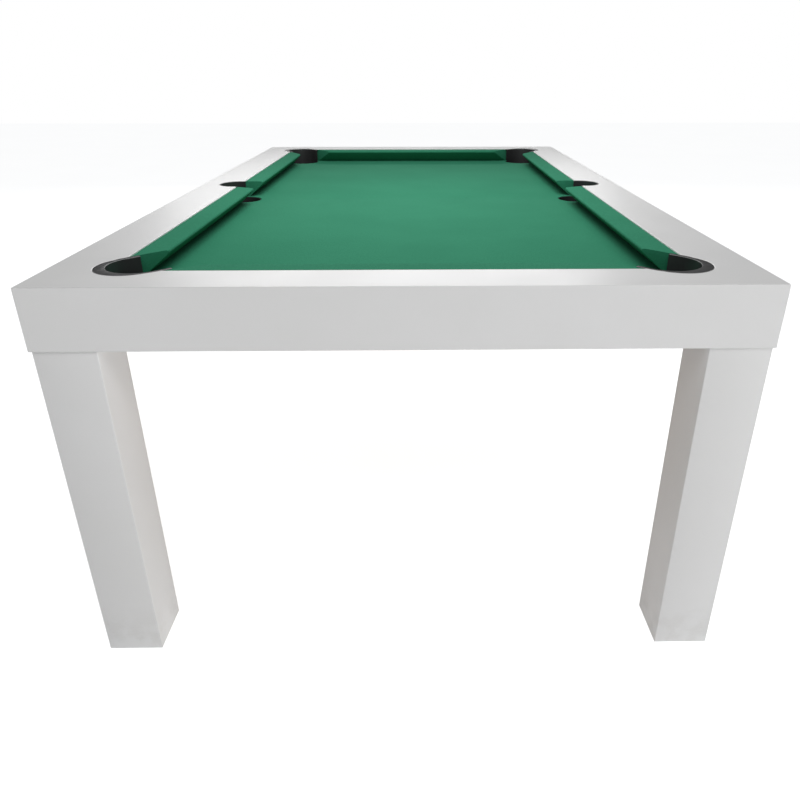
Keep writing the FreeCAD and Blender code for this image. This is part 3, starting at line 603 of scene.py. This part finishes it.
class Nodes:
    """A node tree with short ways to add nodes and join them."""

    def __init__(self, tree):
        self.tree = tree

    def feed(self, socket, value):
        if isinstance(value, bpy.types.NodeSocket):
            self.tree.links.new(value, socket)
        else:
            socket.default_value = value

    def add(self, kind, settings=None, **inputs):
        node = self.tree.nodes.new(kind)
        for name, value in (settings or {}).items():
            setattr(node, name, value)
        for name, value in inputs.items():
            self.feed(node.inputs[name.replace("_", " ")], value)
        return node

    def math(self, operation, *values):
        node = self.add("ShaderNodeMath", {"operation": operation})
        for socket, value in zip(node.inputs, values):
            self.feed(socket, value)
        return node.outputs[0]

    def mix(self, factor, first, second):
        node = self.add("ShaderNodeMix", {"data_type": "RGBA"}, Factor=factor)
        self.feed(node.inputs[6], first)
        self.feed(node.inputs[7], second)
        return node.outputs[2]

    def spread(self, value, low, high, to_low, to_high):
        settings = {"interpolation_type": "SMOOTHSTEP"}
        return self.add("ShaderNodeMapRange", settings, Value=value, From_Min=low, From_Max=high,
                        To_Min=to_low, To_Max=to_high).outputs[0]

    def stretched(self, vector, scale):
        return self.add("ShaderNodeMapping", Vector=vector, Scale=scale).outputs[0]

    def noise(self, vector, scale, detail=2.0, roughness=0.5):
        return self.add("ShaderNodeTexNoise", Vector=vector, Scale=scale, Detail=detail,
                        Roughness=roughness).outputs[0]

    def place(self):
        return self.add("ShaderNodeTexCoord").outputs["Object"]

    def bump(self, height, distance, strength=1.0):
        return self.add("ShaderNodeBump", Height=height, Distance=distance, Strength=strength).outputs[0]


def group(name, inputs, outputs):
    """A new node group with named sockets. Returns its Nodes, its inputs, and a way to set its outputs."""
    tree = bpy.data.node_groups.new(name, "ShaderNodeTree")
    for socket, kind, value in inputs:
        made = tree.interface.new_socket(socket, in_out="INPUT", socket_type=f"NodeSocket{kind}")
        if value is not None:
            made.default_value = value
    for socket, kind in outputs:
        tree.interface.new_socket(socket, in_out="OUTPUT", socket_type=f"NodeSocket{kind}")
    nodes = Nodes(tree)
    source = tree.nodes.new("NodeGroupInput").outputs
    sink = tree.nodes.new("NodeGroupOutput").inputs
    return nodes, source, sink


def use(nodes, name, **inputs):
    """Adds a group to a tree and returns its outputs."""
    return nodes.add("ShaderNodeGroup", {"node_tree": bpy.data.node_groups[name]}, **inputs).outputs


print("node helpers ready")

# %% [markdown]
# Blotches are slow changes of tone that keep a large face from looking printed. Fine grain is the
# surface a spray gun or a mould leaves, which only shows in how highlights break up. Rub marks are
# short scratches and dull patches, thickest near the floor, where shoes and brooms reach.

# %% Groups for blotches, grain and rub marks
nodes, given, result = group("blotches", [("Vector", "Vector", None), ("Scale", "Float", 3.0)],
                             [("Mask", "Float")])
wide = nodes.noise(given["Vector"], given["Scale"], 3.0, 0.55)
nodes.feed(result["Mask"], nodes.spread(wide, 0.3, 0.7, 0.0, 1.0))

nodes, given, result = group("fine_grain", [("Vector", "Vector", None), ("Scale", "Float", 900.0)],
                             [("Height", "Float")])
coarse = nodes.noise(given["Vector"], given["Scale"], 2.0, 0.5)
fine = nodes.noise(given["Vector"], nodes.math("MULTIPLY", given["Scale"], 3.7), 1.0, 0.5)
nodes.feed(result["Height"], nodes.math("ADD", coarse, nodes.math("MULTIPLY", fine, 0.4)))

nodes, given, result = group("rub_marks", [("Vector", "Vector", None), ("Reach", "Float", 0.12)],
                             [("Dull", "Float"), ("Scratch", "Float")])
height = nodes.add("ShaderNodeSeparateXYZ", Vector=given["Vector"]).outputs["Z"]
low_down = nodes.spread(height, 0.0, given["Reach"], 1.0, 0.0)
patches = nodes.spread(nodes.noise(given["Vector"], 22.0, 4.0, 0.6), 0.42, 0.62, 0.0, 1.0)
nodes.feed(result["Dull"], nodes.math("MULTIPLY", low_down, patches))
lines = nodes.noise(nodes.stretched(given["Vector"], (90.0, 90.0, 1400.0)), 1.0, 2.0, 0.5)
streaks = nodes.spread(lines, 0.66, 0.72, 0.0, 1.0)
nodes.feed(result["Scratch"], nodes.math("MULTIPLY", streaks, nodes.math("MULTIPLY", low_down, patches)))
print("three groups")

# %% [markdown]
# Table cloth is a plain weave of wool, raised into a short nap and sheared, then stretched along the
# table. Up close it is fibres lying one way over a weave of about half a millimetre. From further
# off that turns into a faint streaky grain. Both the bed and the cushions use it, turned to suit.

# %% Group for cloth
nodes, given, result = group("napped_cloth", [("Vector", "Vector", None)],
                             [("Fibre", "Float"), ("Cloud", "Float"), ("Height", "Float")])
fibres = nodes.noise(nodes.stretched(given["Vector"], (2600.0, 520.0, 2600.0)), 1.0, 3.0, 0.6)
grain = nodes.noise(nodes.stretched(given["Vector"], (420.0, 110.0, 420.0)), 1.0, 3.0, 0.6)
warp = nodes.add("ShaderNodeTexWave", {"bands_direction": "X"}, Vector=given["Vector"], Scale=300.0,
                 Distortion=1.5, Detail=1.0, Detail_Scale=2.0).outputs[1]
weft = nodes.add("ShaderNodeTexWave", {"bands_direction": "Y"}, Vector=given["Vector"], Scale=300.0,
                 Distortion=1.5, Detail=1.0, Detail_Scale=2.0).outputs[1]
weave = nodes.math("MULTIPLY", warp, weft)
fibre = nodes.math("ADD", nodes.math("MULTIPLY", fibres, 0.5), nodes.math("MULTIPLY", grain, 0.5))
nodes.feed(result["Fibre"], fibre)
nodes.feed(result["Cloud"], nodes.spread(nodes.noise(given["Vector"], 5.0, 4.0, 0.55), 0.3, 0.7, 0.0, 1.0))
nodes.feed(result["Height"], nodes.math("ADD", fibres, nodes.math("MULTIPLY", weave, 0.35)))
print("cloth group")

# %% [markdown]
# Timber has growth rings that show as long bands on a planed face. The group takes coordinates
# already turned so that Z runs along the board, since trees grow that way.

# %% Group for timber
nodes, given, result = group("timber_figure", [("Vector", "Vector", None)],
                             [("Ring", "Float"), ("Pore", "Float"), ("Height", "Float")])
wander = nodes.noise(nodes.stretched(given["Vector"], (6.0, 6.0, 0.7)), 1.0, 3.0, 0.5)
closer = nodes.stretched(given["Vector"], (90.0, 62.0, 1.0))
across = nodes.add("ShaderNodeSeparateXYZ", Vector=closer).outputs
bands = nodes.math("ADD", nodes.math("ADD", across["X"], across["Y"]), nodes.math("MULTIPLY", wander, 16.0))
ring = nodes.math("FRACT", bands)
pores = nodes.noise(nodes.stretched(given["Vector"], (1500.0, 1500.0, 40.0)), 1.0, 2.0, 0.6)
nodes.feed(result["Ring"], nodes.math("POWER", ring, 1.7))
nodes.feed(result["Pore"], nodes.spread(pores, 0.5, 0.75, 0.0, 1.0))
nodes.feed(result["Height"], nodes.math("SUBTRACT", nodes.math("MULTIPLY", ring, 0.4), pores))
print("timber group")

# %% [markdown]
# White satin lacquer is sprayed over primed board and left with a faint orange peel. It is not
# quite white: it picks up a little warmth in broad patches, and shoes dull it near the floor.

# %% Lacquer


def new_material(name, **sockets):
    """A material with one Principled shader, whose steady values are set on its own sockets."""
    material = bpy.data.materials.new(name)
    material.use_nodes = True
    nodes = Nodes(material.node_tree)
    shader = material.node_tree.nodes["Principled BSDF"]
    for socket, value in sockets.items():
        nodes.feed(shader.inputs[socket.replace("_", " ")], value)
    return material, nodes, shader.inputs


lacquer, nodes, shader = new_material("white_satin_lacquer", IOR=1.5, Coat_Roughness=0.2, Coat_IOR=1.5)
place = nodes.place()
tone = use(nodes, "blotches", Vector=place, Scale=2.6)["Mask"]
rubs = use(nodes, "rub_marks", Vector=place, Reach=0.14)
paint = nodes.mix(tone, (0.85, 0.85, 0.845, 1), (0.875, 0.875, 0.875, 1))
paint = nodes.mix(nodes.math("MULTIPLY", rubs["Dull"], 0.16), paint, (0.55, 0.53, 0.49, 1))
paint = nodes.mix(nodes.math("MULTIPLY", rubs["Scratch"], 0.3), paint, (0.42, 0.40, 0.37, 1))
nodes.feed(shader["Base Color"], paint)
sheen = use(nodes, "blotches", Vector=place, Scale=11.0)["Mask"]
dull = nodes.math("MULTIPLY", rubs["Dull"], 0.12)
nodes.feed(shader["Roughness"], nodes.math("ADD", nodes.spread(sheen, 0.0, 1.0, 0.34, 0.38), dull))
peel = use(nodes, "fine_grain", Vector=place, Scale=420.0)["Height"]
nodes.feed(shader["Normal"], nodes.bump(peel, 0.012 * MM))
print(lacquer.name)

# %% [markdown]
# The same green wool is on bed and cushions. On the bed the nap lies along the table. Stretched
# over a cushion it lies across the rail, and its greens are set a touch darker.

# %% Cloth
def cloth_material(name, turn, base, light, dark):
    material, nodes, shader = new_material(name, Roughness=0.92, IOR=1.45, Sheen_Roughness=0.45,
                                           Sheen_Tint=(0.35, 0.85, 0.6, 1), Specular_IOR_Level=0.06)
    place = nodes.add("ShaderNodeMapping", Vector=nodes.place(), Rotation=turn).outputs[0]
    cloth = use(nodes, "napped_cloth", Vector=place)
    cloudy = nodes.mix(cloth["Cloud"], base, light)
    flecks = nodes.spread(cloth["Fibre"], 0.36, 0.62, 0.34, 0.0)
    nodes.feed(shader["Base Color"], nodes.mix(flecks, cloudy, dark))
    nodes.feed(shader["Sheen Weight"], nodes.spread(cloth["Fibre"], 0.3, 0.7, 0.02, 0.08))
    nodes.feed(shader["Normal"], nodes.bump(cloth["Height"], 0.12 * MM, 0.55))
    return material


bed_green = cloth_material("bed_wool", (0, 0, 0), (0.042, 0.270, 0.155, 1), (0.047, 0.290, 0.167, 1),
                           (0.021, 0.165, 0.092, 1))
side_green = cloth_material("side_cushion_wool", (0, 0, math.radians(90)), (0.040, 0.262, 0.150, 1),
                            (0.045, 0.282, 0.162, 1), (0.018, 0.145, 0.080, 1))
end_green = cloth_material("end_cushion_wool", (0, 0, 0), (0.040, 0.262, 0.150, 1),
                           (0.045, 0.282, 0.162, 1), (0.018, 0.145, 0.080, 1))
print(bed_green.name, side_green.name, end_green.name)

# %% [markdown]
# The pocket liner is black plastic from a mould with a fine spark finish, so it is satin and not
# glossy. Balls and hands polish it in patches. Along the bevel the faces get a second material of
# their own, a pale grey that is a painted highlight for the line of light the bevel catches.

# %% Liner plastic
liner_plastic, nodes, shader = new_material("black_moulded_plastic", IOR=1.5, Specular_IOR_Level=0.5)
place = nodes.place()
patch = use(nodes, "blotches", Vector=place, Scale=30.0)["Mask"]
nodes.feed(shader["Base Color"], nodes.mix(patch, (0.028, 0.0285, 0.0295, 1), (0.037, 0.0375, 0.0385, 1)))
nodes.feed(shader["Roughness"], nodes.spread(patch, 0.0, 1.0, 0.40, 0.32))
spark = use(nodes, "fine_grain", Vector=place, Scale=1500.0)["Height"]
nodes.feed(shader["Normal"], nodes.bump(spark, 0.02 * MM))

# Pale grey for the liner bevel: a painted highlight standing for the line of light the bevel catches.
bevel_highlight_plastic, nodes, shader = new_material("painted_highlight_plastic", IOR=1.5, Specular_IOR_Level=0.6)
place = nodes.place()
patch = use(nodes, "blotches", Vector=place, Scale=45.0)["Mask"]
nodes.feed(shader["Base Color"], nodes.mix(patch, (0.38, 0.382, 0.385, 1), (0.46, 0.462, 0.465, 1)))
nodes.feed(shader["Roughness"], nodes.spread(patch, 0.0, 1.0, 0.34, 0.26))
spark = use(nodes, "fine_grain", Vector=place, Scale=1500.0)["Height"]
nodes.feed(shader["Normal"], nodes.bump(spark, 0.008 * MM))
print(liner_plastic.name, bevel_highlight_plastic.name)

# %% [markdown]
# Nothing below the cloth is painted. The stringers, beams, blocks and sub rails are planed
# softwood, so each is given grain along its own length. The bed is sealed fibreboard.

# %% Timber and board
TURN_TO_GRAIN = {"X": (0, math.radians(90), 0), "Y": (math.radians(90), 0, 0), "Z": (0, 0, 0)}
timber = {}
for axis, turn in TURN_TO_GRAIN.items():
    timber[axis], nodes, shader = new_material(f"planed_softwood_along_{axis}", IOR=1.45)
    place = nodes.place()
    along_grain = nodes.add("ShaderNodeMapping", Vector=place, Rotation=turn).outputs[0]
    figure = use(nodes, "timber_figure", Vector=along_grain)
    wood = nodes.mix(figure["Ring"], (0.66, 0.47, 0.27, 1), (0.50, 0.31, 0.15, 1))
    pores = nodes.math("MULTIPLY", figure["Pore"], 0.35)
    nodes.feed(shader["Base Color"], nodes.mix(pores, wood, (0.30, 0.18, 0.09, 1)))
    patch = use(nodes, "blotches", Vector=place, Scale=8.0)["Mask"]
    nodes.feed(shader["Roughness"], nodes.spread(patch, 0.0, 1.0, 0.58, 0.72))
    nodes.feed(shader["Normal"], nodes.bump(figure["Height"], 0.06 * MM))

fibreboard, nodes, shader = new_material("sealed_fibreboard", IOR=1.45)
place = nodes.place()
patch = use(nodes, "blotches", Vector=place, Scale=6.0)["Mask"]
board = nodes.mix(patch, (0.40, 0.27, 0.155, 1), (0.46, 0.32, 0.19, 1))
chips = nodes.spread(nodes.noise(place, 900.0, 3.0, 0.7), 0.35, 0.65, 0.0, 0.45)
nodes.feed(shader["Base Color"], nodes.mix(chips, board, (0.24, 0.15, 0.08, 1)))
nodes.feed(shader["Roughness"], nodes.spread(patch, 0.0, 1.0, 0.62, 0.7))
grain = use(nodes, "fine_grain", Vector=place, Scale=1100.0)["Height"]
nodes.feed(shader["Normal"], nodes.bump(grain, 0.03 * MM))
print(len(timber), "timbers and", fibreboard.name)

# %% [markdown]
# The levelling feet are a rubber pad on a zinc-plated screw. Plating is bright but cloudy, with a
# faint yellow cast, and the rubber is dull and dusty where it meets the floor.

# %% Rubber and zinc
rubber, nodes, shader = new_material("foot_rubber", IOR=1.5, Specular_IOR_Level=0.35)
place = nodes.place()
dust = use(nodes, "rub_marks", Vector=place, Reach=0.012)["Dull"]
patch = use(nodes, "blotches", Vector=place, Scale=60.0)["Mask"]
black = nodes.mix(patch, (0.018, 0.018, 0.018, 1), (0.028, 0.027, 0.026, 1))
nodes.feed(shader["Base Color"], nodes.mix(nodes.math("MULTIPLY", dust, 0.5), black, (0.16, 0.15, 0.14, 1)))
nodes.feed(shader["Roughness"], nodes.spread(patch, 0.0, 1.0, 0.66, 0.8))
skin = use(nodes, "fine_grain", Vector=place, Scale=1600.0)["Height"]
nodes.feed(shader["Normal"], nodes.bump(skin, 0.03 * MM))

zinc, nodes, shader = new_material("zinc_plated_steel", Metallic=1.0)
place = nodes.place()
patch = use(nodes, "blotches", Vector=place, Scale=140.0)["Mask"]
nodes.feed(shader["Base Color"], nodes.mix(patch, (0.56, 0.57, 0.58, 1), (0.68, 0.66, 0.58, 1)))
nodes.feed(shader["Roughness"], nodes.spread(patch, 0.0, 1.0, 0.28, 0.42))
skin = use(nodes, "fine_grain", Vector=place, Scale=2600.0)["Height"]
nodes.feed(shader["Normal"], nodes.bump(skin, 0.01 * MM))
print(rubber.name, zinc.name)

# %% [markdown]
# Every piece now gets its finish. The hidden timber keeps its imported shape, with only its
# arrises softened by a bevel modifier so that it isn't knife sharp when seen from below. A liner's
# bevel is found by how far its faces lean, and is the only part of it that gets the pale grey of
# the painted highlight.

# %% Give each piece its finish
ARRIS = 0.7 * MM
ARRIS_ANGLE = math.radians(50)
BEVEL_LEAN = (0.3, 0.93)


def dress(piece, material):
    piece.data.materials.clear()
    piece.data.materials.append(material)


for piece in [rails, aprons, *legs]:
    dress(piece, lacquer)
for piece in cushions:
    low, high = piece.bound_box[0], piece.bound_box[6]
    dress(piece, side_green if high[1] - low[1] > high[0] - low[0] else end_green)
dress(bed_cloth, bed_green)
# Each liner also gets the pale plastic that paints the highlight on its bevel.
for piece in liners:
    dress(piece, liner_plastic)
    piece.data.materials.append(bevel_highlight_plastic)
    for face in piece.data.polygons:
        leans = BEVEL_LEAN[0] < face.normal.z < BEVEL_LEAN[1]
        near_top = (piece.matrix_world @ face.center).z > RAIL_TOP - FLANGE_THICKNESS
        face.material_index = int(leans and near_top)

for name, node in frame["nodes"].items():
    if node.hide_render:
        continue
    low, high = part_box(name)
    size = high - low
    kind = frame_slots[name]
    if kind == "frame_timber":
        node_material = timber["XYZ"[max(range(3), key=lambda i: size[i])]]
    else:
        node_material = {"bed_panel": fibreboard, "foot_rubber": rubber, "zinc_steel": zinc}[kind]
    for slot in node.material_slots:
        slot.material = node_material
    if kind in ("frame_timber", "bed_panel"):
        softened = node.modifiers.new("soft arris", "BEVEL")
        softened.width = ARRIS
        softened.segments = 2
        softened.limit_method = "ANGLE"
        softened.angle_limit = ARRIS_ANGLE
print("finishes given")

# %% [markdown]
# The table stands on a plain pale floor that runs on into a white room. A soft lamp low over the
# middle makes the bed brightest there. One high behind the camera fills the near end, one low on the
# right gives the legs a light and a dark side, and a long panel beyond the far end is what the satin
# rail tops reflect. The camera stands at the near end and looks down the table.

# %% Stage, lights and camera
FLOOR_REACH = 14
FLOOR_GLOW = 0.27
FLOOR_SEEN = 0.95
WORLD_LIGHT = 0.16
bm = bmesh.new()
lines = (-FLOOR_REACH, 0, FLOOR_REACH)
loft(bm, [[Vector((x, y, 0)) for y in lines] for x in lines], ring=False)
floor = object_from(bm, "pale_floor")
paper, nodes, shader = new_material("pale_paper", Roughness=0.95, Specular_IOR_Level=0.1)
seen_directly = nodes.add("ShaderNodeLightPath").outputs["Is Camera Ray"]
nodes.feed(shader["Emission Strength"], nodes.spread(seen_directly, 0.0, 1.0, FLOOR_GLOW, FLOOR_SEEN))
tint = nodes.noise(nodes.place(), 1.5, 3.0)
pale = nodes.mix(tint, (0.86, 0.865, 0.87, 1), (0.88, 0.885, 0.89, 1))
nodes.feed(shader["Base Color"], pale)
nodes.feed(shader["Emission Color"], pale)
dress(floor, paper)


def soft_light(name, place, target, size, power, tint=(1, 1, 1)):
    light = bpy.data.lights.new(name, "AREA")
    light.shape = "RECTANGLE"
    light.size, light.size_y = size
    light.energy = power
    light.color = tint
    lamp = bpy.data.objects.new(name, light)
    lamp.location = place
    lamp.rotation_euler = (Vector(target) - Vector(place)).to_track_quat("-Z", "Y").to_euler()
    lamp.visible_camera = False
    bpy.context.scene.collection.objects.link(lamp)
    return lamp


soft_light("overhead", (0, 0.04, 1.80), (0, 0.04, 0), (0.8, 1.0), 9.6)
soft_light("low_key", (3.8, -2.3, 0.45), (0, -0.9, 0.38), (1.6, 0.5), 47)
soft_light("near_fill", (0.2, -2.7, 3.0), (0, -1.0, 0.6), (2.6, 1.2), 37)
soft_light("far_panel", (-0.26, 4.4, 2.45), (-0.26, -1.0, 0.75), (4.2, 0.9), 50)

world = bpy.data.worlds.new("studio")
world.use_nodes = True
nodes = Nodes(world.node_tree)
background = world.node_tree.nodes["Background"].inputs
background["Color"].default_value = (1, 1, 1, 1)
seen_directly = nodes.add("ShaderNodeLightPath").outputs["Is Camera Ray"]
nodes.feed(background["Strength"], nodes.spread(seen_directly, 0.0, 1.0, WORLD_LIGHT, 1.0))
bpy.context.scene.world = world
bpy.context.scene.view_settings.view_transform = "Standard"

camera_data = bpy.data.cameras.new("camera")
camera_data.lens = 30.34
camera_data.sensor_width = 36
camera_data.shift_x = -0.0351
camera_data.shift_y = -0.0221
camera = bpy.data.objects.new("camera", camera_data)
camera.location = (0.0215, -2.1001, 1.0816)
camera.rotation_euler = (math.radians(65.12), 0, math.radians(-0.90))
bpy.context.scene.collection.objects.link(camera)
bpy.context.scene.camera = camera
print("stage, lights and camera ready")
